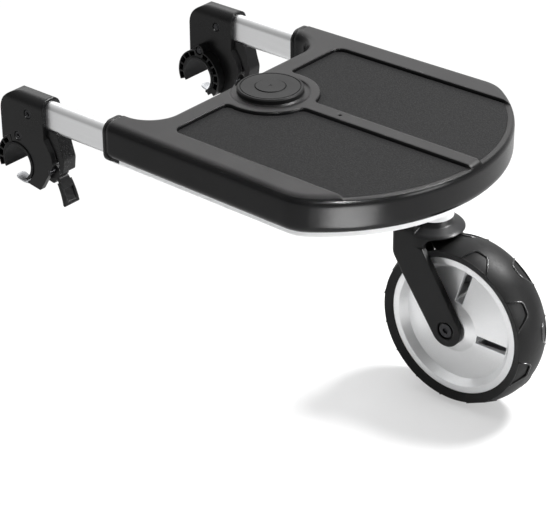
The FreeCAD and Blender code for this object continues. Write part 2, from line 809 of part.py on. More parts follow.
# Cam lever: a hub with an eccentric lobe and finger ridges, and a bowed handle
def make_lever():
    half = (channel_in - channel_out) / 2 - body_gap
    left, right = -tube_x - half, -tube_x + half
    hub = rod_x(hub_radius, left, right, -pivot_back, pivot_rise)
    pivot = V(0, -pivot_back, pivot_rise)
    lobe_at = pivot + polar(cam_throw, cam_angle)
    lobe = rod_x(hub_radius, left, right, lobe_at.y, lobe_at.z)
    along = polar(1, handle_angle)
    across = polar(1, handle_angle - 90)
    stations = [(0, 0), (handle_length / 2, handle_bow), (handle_length, 0)]
    near = [pivot + along * d + across * (b - handle_thickness / 2) for d, b in stations]
    far = [pivot + along * d + across * (b + handle_thickness / 2) for d, b in stations]
    tip = pivot + along * (handle_length + handle_thickness / 2)
    edges = [Part.Arc(*near).toShape(), Part.Arc(near[2], tip, far[2]).toShape(),
             Part.Arc(*far[::-1]).toShape(), Part.LineSegment(far[0], near[0]).toShape()]
    slab = Part.Face(Part.Wire(edges)).extrude(V(handle_width, 0, 0))
    slab.translate(V(-tube_x - handle_width / 2, 0, 0))
    heel = pivot + V(-tube_x, 0, 0) - across * (2 * handle_thickness)
    toe = heel + along * (handle_length + handle_thickness)
    root, wide = V(handle_root_width / 2, 0, 0), V(handle_width / 2, 0, 0)
    taper = corner_wire([heel - root, heel + root, toe + wide, toe - wide],
                        [0, 0, handle_tip_radius, handle_tip_radius])
    slab = slab.common(Part.Face(taper).extrude(across * (4 * handle_thickness)))
    neck = slab.common(rod_x(handle_root, left, right, -pivot_back, pivot_rise))
    wide_left, wide_right = -tube_x - handle_width, -tube_x + handle_width
    handle = slab.cut(rod_x(handle_root, wide_left, wide_right, -pivot_back, pivot_rise))
    lever = fuse(hub, lobe, neck, handle)
    for k in range(hub_groove_count):
        angle = hub_groove_start + k * hub_groove_pitch
        at = pivot + polar(hub_radius + hub_groove_radius / 2, angle)
        if abs(angle - handle_angle) > hub_groove_pitch:
            lever = lever.cut(rod_x(hub_groove_radius, left - overrun, right + overrun, at.y, at.z))
    reach = handle_length - paddle_length / 2 - handle_thickness / 2
    rise = handle_bow / 2 + handle_thickness / 2 - paddle_depth
    paddle = Part.makeBox(paddle_width, paddle_length, paddle_depth + overrun,
                          V(-paddle_width / 2, -paddle_length / 2, 0))
    paddle.rotate(V(0, 0, 0), V(1, 0, 0), handle_angle + 180)
    paddle.translate(pivot + along * reach + across * rise + V(-tube_x, 0, 0))
    lever = lever.cut(paddle)
    return lever.cut(rod_x(pin_radius + running_gap, wide_left, wide_right, -pivot_back, pivot_rise))


def make_pin():
    return rod_x(pin_radius, outboard + fit_gap, inboard - fit_gap, -pivot_back, pivot_rise)


# Lever guard: a channel that hangs under the tube behind the arm
guard_foot_z = tube_z - tube_height / 2 - guard_foot_thickness
guard_screw_y = bracket_rear - guard_foot_length * guard_screw_share


def make_guard():
    heel_rise = tube_z - bracket_heel - bulge_rise
    slope = math.hypot(bulge_back + bracket_rear, heel_rise)
    step_y = guard_gap * heel_rise / slope
    inner_y = -bulge_back - step_y
    foot_front = bracket_rear - fit_gap
    foot_top = guard_foot_z + guard_foot_thickness + guard_foot_lap
    shift = (guard_foot_z - tube_z + bracket_heel) * (bulge_back + bracket_rear) / heel_rise
    foot_inner = bracket_rear - step_y * slope / heel_rise + min(shift, 0)
    corners = [(foot_front, foot_top, 0), (foot_front, guard_foot_z, 0),
               (min(foot_inner, foot_front - guard_edge_radius), guard_foot_z, 0),
               (inner_y, bulge_rise + guard_edge_radius, guard_edge_radius),
               (inner_y, pivot_rise + hub_radius, guard_edge_radius),
               (-guard_heel_back, guard_heel_rise, guard_edge_radius / 2),
               (-guard_toe_back, guard_toe_rise, guard_edge_radius),
               (-guard_back, guard_crown_rise, guard_crown_radius),
               (-guard_shoulder_back, guard_shoulder_rise, guard_crown_radius),
               (foot_front - guard_foot_length, foot_top, guard_edge_radius)]
    left, right = -tube_x - guard_width / 2, -tube_x + guard_width / 2
    guard = side_plate(corners, left, right)
    shifted = [(y + guard_wall, z, r) for y, z, r in corners]
    core = side_plate(shifted, left + guard_cheek, right - guard_cheek)
    back = -guard_back - overrun
    guard = guard.cut(core.common(block(left, right, back, 0, -guard_back, guard_foot_z - guard_wall)))
    guard = guard.cut(flat_oval(tube_width + 2 * fit_gap, tube_height + 2 * fit_gap, -tube_x, tube_z,
                                back, bracket_rear + overrun))
    guard = guard.cut(rod_z_axis(screw_head_radius + fit_gap, -tube_x, guard_screw_y,
                                 guard_foot_z - guard_wall - overrun, guard_foot_z))
    return guard.cut(rod_z_axis(screw_hole, -tube_x, guard_screw_y, guard_foot_z - overrun, tube_z))


def make_fasteners():
    solids = []
    for y, z in bolt_places():
        far = inboard if z == tube_z else jaw_face
        head_x = outboard + bolt_sink_depth
        outer_x = head_x - bolt_head_height
        head = rod_x(bolt_head_radius, outer_x, head_x, y, z)
        head = head.cut(hex_x(bolt_radius, outer_x - overrun, outer_x + bolt_head_height / 2, y, z))
        shank = rod_x(bolt_radius, head_x - touch, far - fit_gap, y, z)
        nut_x = far - bolt_sink_depth
        nut = hex_x(nut_radius, nut_x, nut_x + nut_height, y, z)
        solids.append(fuse(head, shank))
        solids.append(nut.cut(rod_x(bolt_hole, nut_x - overrun, far + overrun, y, z)))
    head_z = guard_foot_z - screw_head_height
    head = rod_z_axis(screw_head_radius, -tube_x, guard_screw_y, head_z, guard_foot_z)
    screw_top = tube_z - tube_height / 2 + tube_wall * 2
    shank = rod_z_axis(screw_shank_radius, -tube_x, guard_screw_y, guard_foot_z - touch, screw_top)
    solids.append(fuse(head, shank))
    return Part.makeCompound(solids)


export_pair("arm_collar", make_collar())
export_pair("tube", make_tube())
export_pair("tube_plug", make_plug())
export_pair("clamp_bracket", make_bracket())
export_pair("clamp_jaw", make_jaw())
export_pair("jaw_liner", make_liner())
export_pair("hook_band", make_band())
export_pair("band_strap", make_strap())
export_pair("clamp_lever", make_lever())
export_pair("lever_pin", make_pin())
export_pair("lever_guard", make_guard())
export_pair("clamp_fasteners", make_fasteners())


# Lock dial with its button, and the scroll cam that it turns under the deck
def make_dial():
    disc = rod_z_axis(dial_radius, 0, dial_y, dial_bottom, dial_top)
    disc = disc.makeChamfer(dial_bevel, edges_at_z(disc, dial_top, 0))
    shaft = rod_z_axis(dial_shaft_radius, 0, dial_y, cam_top, dial_bottom + touch)
    spigot = rod_z_axis(dial_spigot_radius, 0, dial_y, cam_bottom, cam_top + touch)
    dial = fuse(disc, shaft, spigot)
    groove_z = dial_top - dial_groove_depth
    groove_in = dial_groove_radius - dial_groove_width
    ring = rod_z_axis(dial_groove_radius, 0, dial_y, groove_z, dial_top + overrun)
    dial = dial.cut(ring.cut(rod_z_axis(groove_in, 0, dial_y, groove_z, dial_top + overrun)))
    dial = dial.cut(rod_z_axis(button_radius + body_gap, 0, dial_y, well_floor, dial_top + overrun))
    stem_hole = button_stem_radius + running_gap
    dial = dial.cut(rod_z_axis(stem_hole, 0, dial_y, stem_end, well_floor + overrun))
    screw_bore = cam_screw_radius + fit_gap
    return dial.cut(rod_z_axis(screw_bore, 0, dial_y, cam_bottom - overrun, stem_end + overrun))


def make_button():
    cap_bottom = dial_top - button_skirt
    cap = rod_z_axis(button_radius, 0, dial_y, cap_bottom, dial_top + button_crown)
    cap = cap.makeChamfer(button_crown, edges_at_z(cap, dial_top + button_crown, 0))
    stem_low = well_floor - button_stem_length + button_travel
    button = fuse(cap, rod_z_axis(button_stem_radius, 0, dial_y, stem_low, cap_bottom + touch))
    mark_z = dial_top + button_crown - button_mark_depth
    turns = [math.radians(120 * k - 90) for k in range(3)]
    points = [V(button_mark * math.cos(t), dial_y + button_mark * math.sin(t), mark_z) for t in turns]
    mark = Part.Face(Part.makePolygon(points + points[:1])).extrude(V(0, 0, button_mark_depth + overrun))
    return button.cut(mark)


def make_spring():
    """Button spring: one square wire wound between the well floor and the button."""
    height = dial_top - button_skirt - well_floor - 2 * spring_wire - 2 * fit_gap
    helix = Part.makeHelix(height / spring_turns, height, spring_radius)
    near, far = spring_radius - spring_wire, spring_radius + spring_wire
    corners = [V(near, 0, -spring_wire), V(far, 0, -spring_wire),
               V(far, 0, spring_wire), V(near, 0, spring_wire)]
    section = Part.makePolygon(corners + corners[:1])
    spring = Part.Wire(helix.Edges).makePipeShell([section], True, True)
    spring.translate(V(0, dial_y, well_floor + spring_wire + fit_gap))
    return spring


def cam_pin(turn, side):
    """Place of a lock rod's pin on the cam after the cam has turned."""
    radius = cam_pin_locked + (cam_pin_free - cam_pin_locked) * turn / cam_turn
    angle = math.radians(-turn)
    return V(side * radius * math.cos(angle), dial_y + side * radius * math.sin(angle), cam_bottom - overrun)


def cam_slot(side):
    """Slot along the path of a pin, which moves in steadily as the cam turns."""
    start, middle, end = cam_pin(0, side), cam_pin(cam_turn / 2, side), cam_pin(cam_turn, side)
    path = Part.Arc(start, middle, end).toShape().Curve
    width = cam_pin_radius + body_gap
    centre = path.Center
    sides = []
    for grow in (width, -width):
        sides.append([centre + (p - centre) * (1 + grow / path.Radius) for p in (start, middle, end)])
    outer, inner = sides
    ring = Part.Wire([Part.Arc(*outer).toShape(), Part.LineSegment(outer[2], inner[2]).toShape(),
                      Part.Arc(*inner[::-1]).toShape(), Part.LineSegment(inner[0], outer[0]).toShape()])
    height = cam_thickness + overrun * 2
    ends = [Part.makeCylinder(width, height, p, V(0, 0, 1)) for p in (start, end)]
    return fuse(Part.Face(ring).extrude(V(0, 0, height)), *ends)


def make_cam():
    cam = rod_z_axis(cam_radius, 0, dial_y, cam_bottom, cam_top)
    hub = rod_z_axis(dial_spigot_radius + fit_gap, 0, dial_y, cam_bottom - overrun, cam_top + overrun)
    return cam.cut(hub).cut(cam_slot(1)).cut(cam_slot(-1))


def make_cam_screw():
    head = rod_z_axis(cam_screw_head_radius, 0, dial_y, cam_bottom - cam_screw_head_height, cam_bottom)
    return fuse(head, rod_z_axis(cam_screw_radius, 0, dial_y, cam_bottom - touch, stem_end - fit_gap))


shoe_face = tube_x - tube_width / 2 - shoe_gap


def make_rod():
    plate_x = shoe_face - shoe_pad - shoe_plate
    bar = block(-plate_x - touch, -cam_pin_locked + rod_tail, dial_y - rod_width / 2, dial_y + rod_width / 2,
                rod_z - rod_height / 2, rod_z + rod_height / 2)
    plate = block(-plate_x - shoe_plate, -plate_x, dial_y - shoe_length / 2, dial_y + shoe_length / 2,
                  rod_z - shoe_height / 2, rod_z + shoe_height / 2)
    pin = rod_z_axis(cam_pin_radius, -cam_pin_locked, dial_y, rod_z, cam_top)
    return fuse(bar, plate, pin)


def make_shoe():
    return block(-shoe_face, -shoe_face + shoe_pad, dial_y - shoe_length / 2, dial_y + shoe_length / 2,
                 rod_z - shoe_height / 2, rod_z + shoe_height / 2)


export("lock_dial", make_dial())
export("lock_button", make_button())
export("button_spring", make_spring())
export("dial_cam", make_cam())
export("cam_screw", make_cam_screw())
export_pair("lock_rod", make_rod())
export_pair("lock_shoe", make_shoe())


# Caster: socket, bushes and kingpin
socket_top = ceiling - fit_gap
kingpin_hole = kingpin_radius + fit_gap
bush_bore = kingpin_radius + running_gap
bush_outer = kingpin_radius + bush_thickness
king_nut_z = socket_top - king_nut_height - bush_flange_thickness
socket_rim = king_nut_z - bush_flange_thickness - swivel_gap


def make_socket():
    flange_low = tray_bottom - socket_flange
    flange_high = tray_bottom - fit_gap
    profile = [(bush_outer + fit_gap, socket_bottom_rise), (socket_radius, socket_bottom_rise),
               (socket_radius, flange_low), (socket_flange_radius, flange_low),
               (socket_flange_radius, flange_high), (socket_radius, flange_high),
               (socket_radius, socket_rim), (bush_outer + fit_gap, socket_rim)]
    socket = revolve_z(profile, 0, stem_y)
    for x, y in socket_screw_places():
        socket = socket.cut(rod_z_axis(screw_hole, x, y, flange_low - overrun, tray_bottom + overrun))
    for z0, z1 in ((socket_bottom_rise - overrun, socket_bottom_rise + bush_flange_thickness),
                   (socket_rim - bush_flange_thickness, socket_rim + overrun)):
        socket = socket.cut(rod_z_axis(bush_outer + bush_flange + fit_gap, 0, stem_y, z0, z1))
    return socket


def make_bushes():
    flange_r = bush_outer + bush_flange
    low = socket_bottom_rise
    high = socket_rim
    rim = bush_flange_thickness - fit_gap
    lower = revolve_z([(bush_bore, low), (flange_r, low), (flange_r, low + rim), (bush_outer, low + rim),
                       (bush_outer, low + bush_length), (bush_bore, low + bush_length)], 0, stem_y)
    upper = revolve_z([(bush_bore, high - bush_length), (bush_outer, high - bush_length),
                       (bush_outer, high - rim), (flange_r, high - rim), (flange_r, high), (bush_bore, high)],
                      0, stem_y)
    return Part.makeCompound([lower, upper])


def make_kingpin():
    return rod_z_axis(kingpin_radius, 0, stem_y, fork_top - kingpin_bite, king_nut_z + king_nut_height)


def make_king_nut():
    turns = [math.radians(60 * k) for k in range(6)]
    points = [V(king_nut_radius * math.cos(t), king_nut_radius * math.sin(t), 0) for t in turns]
    nut = Part.Face(Part.makePolygon(points + points[:1])).extrude(V(0, 0, king_nut_height))
    nut.translate(V(0, stem_y, king_nut_z))
    washer_z = king_nut_z - bush_flange_thickness
    washer = rod_z_axis(king_nut_radius + bush_flange, 0, stem_y, washer_z, king_nut_z + touch)
    nut_top = king_nut_z + king_nut_height
    return fuse(nut, washer).cut(rod_z_axis(kingpin_hole, 0, stem_y, washer_z - overrun, nut_top + overrun))


def make_thrust_washer():
    washer = rod_z_axis(thrust_washer_radius, 0, stem_y, fork_top, fork_top + thrust_washer)
    return washer.cut(rod_z_axis(kingpin_hole, 0, stem_y, fork_top - overrun, fork_top + overrun))


# Caster fork: two trailing legs under a crown that ends in a round cap over the tyre
def make_fork():
    front = stem_y + fork_front
    knee_z = fork_top - fork_front_drop
    waist_y = stem_y - fork_waist_back
    waist_z = fork_top - fork_waist_drop
    end = polar(fork_end_radius, fork_end_angle)
    leg = [(front, fork_top, fork_bend_radius / 2), (front, knee_z, fork_bend_radius),
           (stem_y + fork_knee_back, fork_top - fork_knee_drop, fork_bend_radius),
           (axle_y + end.y, axle_z + end.z, 0), (axle_y - end.y, axle_z - end.z, 0),
           (waist_y, waist_z, 0), (waist_y, fork_top, 0)]
    legs = side_plate(leg, -fork_half, fork_half)
    legs = legs.fuse(rod_x(fork_end_radius, -fork_half, fork_half, axle_y, axle_z))
    rim_z = fork_top - fork_tail_drop
    cap = revolve_z([(0, waist_z), (fork_half, waist_z), (fork_half, rim_z - fork_tail_bevel),
                     (fork_half - fork_tail_bevel, rim_z),
                     (fork_step_radius, fork_top - fork_step_drop), (fork_seat_radius, fork_top),
                     (0, fork_top)], 0, stem_y)
    tail = stem_y - fork_half
    visor = side_plate([(stem_y, fork_top, 0), (stem_y, waist_z, 0), (waist_y, waist_z, 0),
                        (waist_y, rim_z - fork_tail_edge, fork_flare_radius),
                        (tail, rim_z - fork_tail_edge, 0), (tail, fork_top, 0)], -fork_half, fork_half)
    brow = side_plate([(front, fork_top, fork_bend_radius / 2), (front, knee_z, 0),
                       (stem_y, knee_z, 0), (stem_y, fork_top, 0)], -fork_half, fork_half)
    legs = legs.cut(block(-fork_half, fork_half, tail, stem_y, waist_z, fork_top + overrun))
    fork = legs.fuse([brow, visor.common(cap)]).cut(rod_x(fork_arch, -fork_gap, fork_gap, axle_y, axle_z))
    low = axle_z - fork_end_radius - overrun
    back = axle_y - fork_end_radius - overrun
    plan = plan_plate([(-fork_half, front, fork_front_radius), (fork_half, front, fork_front_radius),
                       (fork_half, back, 0), (-fork_half, back, 0)], low, fork_top)
    section = front_plate([(-fork_half, low, 0), (fork_half, low, 0),
                           (fork_half, fork_top, fork_shoulder_radius),
                           (-fork_half, fork_top, fork_shoulder_radius)], back, front)
    fork = fork.common(plan).common(section)
    for side in (-1, 1):
        face = side * fork_gap
        tip = side * (rim_hub_half + body_gap)
        boss = rod_x(fork_boss_radius, min(face, tip), max(face, tip), axle_y, axle_z)
        fork = fork.fuse(boss)
        sink = side * (fork_half - axle_sink_depth)
        outer = side * (fork_half + overrun)
        fork = fork.cut(rod_x(axle_sink_radius, min(sink, outer), max(sink, outer), axle_y, axle_z))
    fork = fork.cut(rod_x(axle_radius + fit_gap, -fork_half - overrun, fork_half + overrun, axle_y, axle_z))
    pin_low = fork_top - kingpin_bite - fit_gap
    return fork.cut(rod_z_axis(kingpin_hole, 0, stem_y, pin_low, fork_top + overrun)).removeSplitter()


def make_axle():
    seat = fork_half - axle_sink_depth
    face = -seat - axle_head_height
    head = rod_x(axle_head_radius, face, -seat, axle_y, axle_z)
    socket = hex_x(axle_socket_radius, face - overrun, face + axle_socket_depth, axle_y, axle_z)
    shank = rod_x(axle_radius, -seat - touch, seat + axle_head_height, axle_y, axle_z)
    return fuse(head.cut(socket), shank)


def make_axle_nut():
    seat = fork_half - axle_sink_depth
    face = seat + axle_head_height
    nut = hex_x(axle_nut_radius, seat, face, axle_y, axle_z)
    return nut.cut(rod_x(axle_radius + fit_gap, seat - overrun, face + overrun, axle_y, axle_z))


def turned_x(corners):
    """Solid turned about the axle from (x, radius) corners."""
    points = [V(x, axle_y, axle_z + r) for x, r in corners]
    face = Part.Face(Part.makePolygon(points + points[:1]))
    return face.revolve(V(0, axle_y, axle_z), V(1, 0, 0), 360)


# Wheel rim: a dished disc with a raised lip, a conical hub and radial slots
def make_rim():
    seat = rim_radius - rim_seat_depth
    dish = rim_half_width - rim_dish
    bore = bearing_radius + fit_gap
    hub_foot = rim_hub_radius + rim_hub_flare
    lip_foot = rim_radius - rim_lip
    disc_edge = lip_foot - rim_lip_slope
    right = [(rim_half_width - rim_seat_depth, seat), (rim_half_width, rim_radius),
             (rim_half_width, lip_foot), (dish, disc_edge), (rim_hub_half - rim_hub_rise, hub_foot),
             (rim_hub_half, rim_hub_radius), (rim_hub_half, bore)]
    rim = turned_x(right + [(-x, r) for x, r in reversed(right)])
    stop = rim_hub_half - bearing_inset - bearing_width - fit_gap
    rim = rim.fuse(rod_x(bore + touch, -stop, stop, axle_y, axle_z))
    sleeve = axle_radius + running_gap + spacer_wall + body_gap
    rim = rim.cut(rod_x(sleeve, -rim_half_width, rim_half_width, axle_y, axle_z))
    wide = rim_hub_half - rim_hub_rise - rim_web
    narrow = dish - rim_web
    cavity = [(wide, hub_foot + rim_web), (narrow, disc_edge - rim_web),
              (-narrow, disc_edge - rim_web), (-wide, hub_foot + rim_web)]
    rim = rim.cut(turned_x(cavity))
    slot_inner = hub_foot + slot_hub_gap
    slot_outer = disc_edge - slot_lip_gap
    for angle in slot_angles:
        slot = block(-rim_half_width, rim_half_width, slot_inner, slot_outer, -slot_width / 2, slot_width / 2)
        slot.rotate(V(0, 0, 0), V(1, 0, 0), angle)
        slot.translate(V(0, axle_y, axle_z))
        rim = rim.cut(slot)
    return rim


# Tyre: flat sidewalls and a round tread with rounded pockets along both shoulders
def make_tread(depth):
    """The tyre as a solid ring, with its tread lowered by a depth."""
    seat = rim_radius - rim_seat_depth + fit_gap
    side_x = rim_half_width - rim_seat_depth
    half = [(side_x, seat), (rim_half_width, rim_radius + fit_gap),
            (tyre_half_width, wheel_radius - tyre_shoulder_drop - depth)]
    outline = [(-x, r) for x, r in half] + [(0, wheel_radius - depth)] + half[::-1]
    points = [V(x, axle_y, axle_z + r) for x, r in outline]
    edges = [Part.LineSegment(points[i], points[i + 1]).toShape() for i in (0, 1)]
    edges.append(Part.Arc(*points[2:5]).toShape())
    edges += [Part.LineSegment(points[i], points[i + 1]).toShape() for i in (4, 5)]
    edges.append(Part.LineSegment(points[-1], points[0]).toShape())
    return Part.Face(Part.Wire(edges)).revolve(V(0, axle_y, axle_z), V(1, 0, 0), 360)


def make_tyre():
    tyre = make_tread(0)
    core = make_tread(lug_depth)
    step = 360 / lug_count
    for side in (-1, 1):
        for k in range(lug_count):
            phase = lug_phase + step * k + (step / 2 if side > 0 else 0)
            tyre = tyre.cut(lug_cutter(side, phase).cut(core))
    return tyre


def lug_cutter(side, phase):
    """Rounded D with its flat along the tyre's shoulder, standing through the tread at one angle."""
    half = lug_length / 2
    base = tyre_half_width - lug_edge
    first, last = [share * lug_length for share in lug_crown_shares]
    points = [V(side * base, -half, 0), V(side * base, half, 0),
              V(side * (base - lug_reach), last, 0), V(side * (base - lug_reach), first, 0)]
    area = Part.Face(corner_wire(points, [lug_corner / 2, lug_corner / 2, lug_corner, lug_corner]))
    cutter = area.extrude(V(0, 0, wheel_radius))
    cutter.translate(V(0, 0, rim_radius))
    cutter.rotate(V(0, 0, 0), V(1, 0, 0), phase - 90)
    cutter.translate(V(0, axle_y, axle_z))
    return cutter


def make_bearings():
    solids = []
    for side in (-1, 1):
        outer = side * (rim_hub_half - bearing_inset)
        inner = outer - side * bearing_width
        ring = rod_x(bearing_radius, min(outer, inner), max(outer, inner), axle_y, axle_z)
        solids.append(ring.cut(rod_x(axle_radius + running_gap, -fork_half, fork_half, axle_y, axle_z)))
    return Part.makeCompound(solids)


def make_spacer():
    half = rim_hub_half - bearing_inset - bearing_width - fit_gap
    tube = rod_x(axle_radius + running_gap + spacer_wall, -half, half, axle_y, axle_z)
    return tube.cut(rod_x(axle_radius + running_gap, -fork_half, fork_half, axle_y, axle_z))


export("caster_socket", make_socket())
export("swivel_bushes", make_bushes())
export("kingpin", make_kingpin())
export("king_nut", make_king_nut())
export("thrust_washer", make_thrust_washer())
export("caster_fork", make_fork())
export("axle_bolt", make_axle())
export("axle_nut", make_axle_nut())
export("wheel_rim", make_rim())
export("tyre", make_tyre())
export("wheel_bearings", make_bearings())
export("bearing_spacer", make_spacer())
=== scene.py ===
import math

import bpy
from mathutils import Matrix, Vector


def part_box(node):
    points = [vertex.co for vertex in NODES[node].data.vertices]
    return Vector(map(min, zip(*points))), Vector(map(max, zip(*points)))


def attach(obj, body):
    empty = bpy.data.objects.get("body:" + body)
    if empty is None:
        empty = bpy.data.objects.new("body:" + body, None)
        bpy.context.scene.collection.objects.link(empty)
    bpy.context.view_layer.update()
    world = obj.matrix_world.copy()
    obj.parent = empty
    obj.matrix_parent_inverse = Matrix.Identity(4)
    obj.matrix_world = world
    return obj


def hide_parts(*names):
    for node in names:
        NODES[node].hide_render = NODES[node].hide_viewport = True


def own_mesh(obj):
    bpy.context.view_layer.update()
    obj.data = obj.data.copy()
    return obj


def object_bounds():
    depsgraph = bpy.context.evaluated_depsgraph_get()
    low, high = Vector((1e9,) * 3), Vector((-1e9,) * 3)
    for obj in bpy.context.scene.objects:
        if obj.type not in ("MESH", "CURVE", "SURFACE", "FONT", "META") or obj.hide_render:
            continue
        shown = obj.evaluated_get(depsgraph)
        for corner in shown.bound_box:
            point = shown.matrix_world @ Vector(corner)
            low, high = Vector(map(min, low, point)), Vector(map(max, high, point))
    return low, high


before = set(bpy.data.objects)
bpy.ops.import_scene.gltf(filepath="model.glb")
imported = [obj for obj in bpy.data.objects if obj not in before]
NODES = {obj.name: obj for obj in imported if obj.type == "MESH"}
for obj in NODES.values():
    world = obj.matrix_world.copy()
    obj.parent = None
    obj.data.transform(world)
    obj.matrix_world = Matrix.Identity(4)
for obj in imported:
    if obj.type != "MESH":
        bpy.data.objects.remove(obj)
cad_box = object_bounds()
SIDES = ("left", "right")
FULL_TURN = 2 * math.pi
UP = Vector((0.0, 0.0, 1.0))
WHITE = (1.0, 1.0, 1.0)

# The colour sockets of a Mix node go by number, because its data types share their names
MIX_FACTOR, MIX_FIRST, MIX_SECOND = 0, 6, 7
MIX_RESULT = 2
# Vector Math operations that give a number
NUMBER_RESULTS = ("DOT_PRODUCT", "LENGTH", "DISTANCE")
BEVEL_SAMPLES = 6


def middle(box):
    """Centre of a box that is given by its low and high corners."""
    return (Vector(box[0]) + Vector(box[1])) / 2


def both(*stems):
    """Names of the left and right nodes with these stems."""
    return [stem + side for side in SIDES for stem in stems]


def opaque(color):
    """The colour with full alpha."""
    return color + (1.0,)


class Nodes:
    """Short helpers for one node tree. A source is another node's socket or a constant."""

    def __init__(self, tree, space):
        self.tree = tree
        self.coords = self.add("ShaderNodeTexCoord").outputs[space]

    def link(self, source, socket):
        """Feeds one socket."""
        if isinstance(source, bpy.types.NodeSocket):
            self.tree.links.new(source, socket)
        elif socket.type == "RGBA":
            socket.default_value = opaque(source)
        else:
            socket.default_value = source

    def add(self, kind, sources=(), **props):
        """New node with its properties set and then its sockets fed, by name or number."""
        node = self.tree.nodes.new(kind)
        for key, value in props.items():
            setattr(node, key, value)
        for socket, source in dict(sources).items():
            self.link(source, node.inputs[socket])
        return node

    def number(self, operation, *terms):
        return self.add("ShaderNodeMath", enumerate(terms), operation=operation).outputs[0]

    def vector(self, operation, *terms):
        node = self.add("ShaderNodeVectorMath", enumerate(terms), operation=operation)
        return node.outputs["Value" if operation in NUMBER_RESULTS else "Vector"]

    def spread(self, fac, to, within=(0.3, 0.7), curve="LINEAR"):
        """Brings the part of the factor within one range to another range."""
        ends = zip(("From Min", "From Max", "To Min", "To Max"), within + to)
        node = self.add("ShaderNodeMapRange", ends, interpolation_type=curve)
        self.link(fac, node.inputs["Value"])
        return node.outputs["Result"]


class Shader(Nodes):
    """A material and its main surface node. Coordinates are the object's own, in metres."""

    def __init__(self, name, **values):
        self.mat = bpy.data.materials.new(name)
        self.mat.use_nodes = True
        super().__init__(self.mat.node_tree, "Object")
        self.bsdf = self.tree.nodes["Principled BSDF"]
        self.normal = None
        for socket, value in values.items():
            self.link(value, self.bsdf.inputs[socket.replace("_", " ")])

    def noise(self, scale, detail=3.0, rough=0.55, stretch=None):
        """Soft noise, drawn out along the axes that the stretch makes small."""
        place = self.coords
        if stretch:
            place = self.add("ShaderNodeMapping", {"Vector": place, "Scale": stretch}).outputs["Vector"]
        sources = {"Vector": place, "Scale": scale, "Detail": detail, "Roughness": rough}
        return self.add("ShaderNodeTexNoise", sources).outputs["Fac"]

    def cells(self, scale):
        return self.add("ShaderNodeTexVoronoi", {"Vector": self.coords, "Scale": scale}).outputs["Distance"]

    def ramp(self, fac, dark, light, within=(0.3, 0.7)):
        """Colour that goes from dark to light as the factor crosses the range."""
        node = self.add("ShaderNodeValToRGB", {"Fac": fac})
        for element, place, color in zip(node.color_ramp.elements, within, (dark, light)):
            element.position = place
            element.color = opaque(color)
        return node.outputs["Color"]

    def mix(self, fac, first, second):
        sources = {MIX_FACTOR: fac, MIX_FIRST: first, MIX_SECOND: second}
        return self.add("ShaderNodeMix", sources, data_type="RGBA").outputs[MIX_RESULT]

    def rounded_normal(self, radius, samples=BEVEL_SAMPLES):
        return self.add("ShaderNodeBevel", {"Radius": radius}, samples=samples).outputs["Normal"]

    def facing_up(self, within):
        """0 on walls and 1 on level tops, by the softened normal."""
        split = self.add("ShaderNodeSeparateXYZ", {"Vector": self.normal})
        return self.spread(split.outputs["Z"], (0.0, 1.0), within)

    def edge_mask(self, radius, within):
        """1 along outer edges, from how far the rounded normal leaves the true one."""
        true_normal = self.add("ShaderNodeNewGeometry").outputs["Normal"]
        agreement = self.vector("DOT_PRODUCT", self.rounded_normal(radius), true_normal)
        return self.spread(agreement, (1.0, 0.0), within)

    def ring_mask(self, centre, radius, half_width):
        """1 along a ring about the vertical axis through the centre."""
        offset = self.vector("SUBTRACT", self.coords, centre)
        level = self.vector("MULTIPLY", offset, (1.0, 1.0, 0.0))
        apart = self.number("SUBTRACT", self.vector("LENGTH", level), radius)
        return self.spread(self.number("ABSOLUTE", apart), (1.0, 0.0), (half_width / 2, half_width))

    def use_normal(self, source):
        self.normal = source
        self.link(source, self.bsdf.inputs["Normal"])

    def soften(self, radius, samples=BEVEL_SAMPLES):
        """Rounds the look of sharp edges."""
        self.use_normal(self.rounded_normal(radius, samples))

    def bump(self, height, distance, strength):
        """Fine relief on top of the normal that is in use."""
        node = self.add("ShaderNodeBump", {"Height": height, "Distance": distance, "Strength": strength})
        if self.normal is not None:
            self.link(self.normal, node.inputs["Normal"])
        self.use_normal(node.outputs["Normal"])

    def color(self, source):
        self.link(source, self.bsdf.inputs["Base Color"])

    def rough(self, source):
        self.link(source, self.bsdf.inputs["Roughness"])


# Materials
# Colour of the painted shade in the dial's seams
RING_SHADE = (0.0012, 0.0012, 0.0013)
PAD_WORN = (0.012, 0.012, 0.0124)
RIM_DULL = (0.82, 0.825, 0.83)
DUST = (0.016, 0.0154, 0.0146)
WEAR_GAIN = 2.2
WEAR_LIFT = 0.006
WEAR_REACH = 1.6


def moulded(name, dark, light, rough, grain, depth, edge, level, shade_rings=(), centre=None):
    """Black moulded plastic: spark grain, uneven sheen, slightly worn edges and painted shade along each ring
    given.
    """
    look = Shader(name, Specular_IOR_Level=level)
    look.soften(edge)
    cloud = look.noise(scale=22.0, detail=4.0)
    speck = look.noise(scale=grain / 2, detail=2.0)
    base = look.ramp(cloud, dark, light)
    wear = tuple(channel * WEAR_GAIN + WEAR_LIFT for channel in light)
    worn = look.mix(look.edge_mask(edge * WEAR_REACH, within=(0.80, 0.99)), base, wear)
    scuffs = look.noise(scale=60.0, detail=5.0, rough=0.65, stretch=(1.0, 0.18, 1.0))
    shade = look.mix(look.spread(scuffs, to=(0.0, 1.0), within=(0.45, 0.62)), base, worn)
    # Painted shade: the colour is darkened along each ring given
    for radius, half_width in shade_rings:
        shade = look.mix(look.ring_mask(centre, radius, half_width), shade, RING_SHADE)
    look.color(shade)
    look.rough(look.spread(look.mix(0.35, cloud, speck), to=rough, within=(0.35, 0.65)))
    look.bump(look.noise(scale=grain, detail=2.0, rough=0.6), distance=depth, strength=0.6)
    return look.mat


